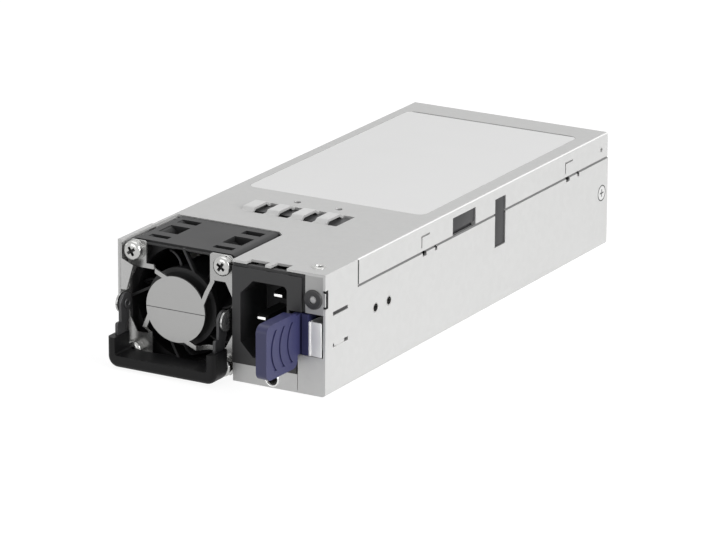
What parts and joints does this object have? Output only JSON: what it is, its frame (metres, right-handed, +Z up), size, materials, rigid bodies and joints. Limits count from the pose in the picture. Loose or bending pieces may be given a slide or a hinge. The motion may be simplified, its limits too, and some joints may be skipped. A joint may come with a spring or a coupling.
{
  "type": "hot swap server power supply",
  "caption": "Slim sheet-steel power supply module with a front fan and guard, bail handle, release tab, mains inlet, status light and rear card-edge connector.",
  "frame": {"origin": "middle of the case's underside, in the plane it rests on", "axes": "+Y from the front (fan and inlet) to the back, +Z up, +X to the right seen from the front"},
  "size_m": [0.0734, 0.214, 0.0395],
  "materials": {
    "case_steel": "satin plated sheet",
    "label_film": "matt film",
    "screw_steel": "bright plated",
    "film_grey": "matt film",
    "fan_black": "moulded, fine grain",
    "rotor_black": "moulded, satin",
    "shaft_steel": "ground",
    "copper_wire": "enamelled copper",
    "guard_steel": "satin sheet",
    "arm_black": "satin black",
    "grip_black": "moulded, satin",
    "tab_violet": "moulded, satin",
    "leaf_steel": "bright spring strip",
    "inlet_black": "moulded, fine grain",
    "blade_nickel": "nickel plated",
    "bezel_black": "moulded",
    "lens_clear": "diffuse lens",
    "board_green": "solder mask",
    "gold_pad": "gold plated",
    "post_brass": "plated brass",
    "can_blue": "sleeved aluminium can",
    "winding_enamel": "enamelled wire",
    "ferrite": "ferrite",
    "tape_yellow": "wound tape",
    "sink_aluminium": "extruded",
    "package_black": "moulded",
    "relay_black": "moulded",
    "capacitor_yellow": "potted box",
    "capacitor_blue": "coated disc"
  },
  "bodies": {
    "supply": {"chassis_base": "case_steel", "top_cover": "case_steel", "label_blank": "label_film", "rear_panel": "case_steel", "rear_screws": "screw_steel", "insulator_sheet": "film_grey", "fan_frame": "fan_black", "fan_bearings": "shaft_steel", "fan_stator": "copper_wire", "fan_guard": "guard_steel", "fan_screws": "screw_steel", "fan_washers": "screw_steel", "handle_pins": "screw_steel", "latch_anchor": "leaf_steel", "latch_rivets": "screw_steel", "inlet_housing": "inlet_black", "inlet_line_pin": "blade_nickel", "inlet_neutral_pin": "blade_nickel", "inlet_earth_pin": "blade_nickel", "led_bracket": "guard_steel", "led_bezel": "bezel_black", "led_lens": "lens_clear", "main_board": "board_green", "edge_contacts": "gold_pad", "board_standoffs": "post_brass", "board_screws": "screw_steel", "bulk_capacitor": "can_blue", "pfc_choke": "winding_enamel", "emi_choke": "winding_enamel", "transformer_core": "ferrite", "transformer_winding": "tape_yellow", "primary_heatsink": "sink_aluminium", "rear_heatsink": "sink_aluminium", "power_transistors": "package_black", "bridge_rectifier": "package_black", "relay": "relay_black", "x_capacitors": "capacitor_yellow", "y_capacitors": "capacitor_blue", "resonant_choke": "tape_yellow"},
    "rotor": {"fan_impeller": "rotor_black", "fan_shaft": "shaft_steel"},
    "handle": {"handle_arm_left": "arm_black", "handle_arm_right": "arm_black", "handle_grip": "grip_black"},
    "latch": {"latch_tab": "tab_violet", "latch_leaf": "leaf_steel"}
  },
  "joints": [
    {"name": "fan_spin", "type": "hinge", "parent": "supply", "child": "rotor", "pos_m": [-0.016, -0.0745, 0.01925], "axis": [0, 1, 0], "continuous": true},
    {"name": "handle_swing", "type": "hinge", "parent": "supply", "child": "handle", "pos_m": [-0.016, -0.0937, 0.019], "axis": [-1, 0, 0], "range_deg": [0, 100]},
    {"name": "latch_press", "type": "hinge", "parent": "supply", "child": "latch", "pos_m": [0.0354, -0.0676, 0.019], "axis": [0, 0, -1], "range_deg": [0, 3], "stiffness_Nm_per_rad": 7.5}
  ]
}
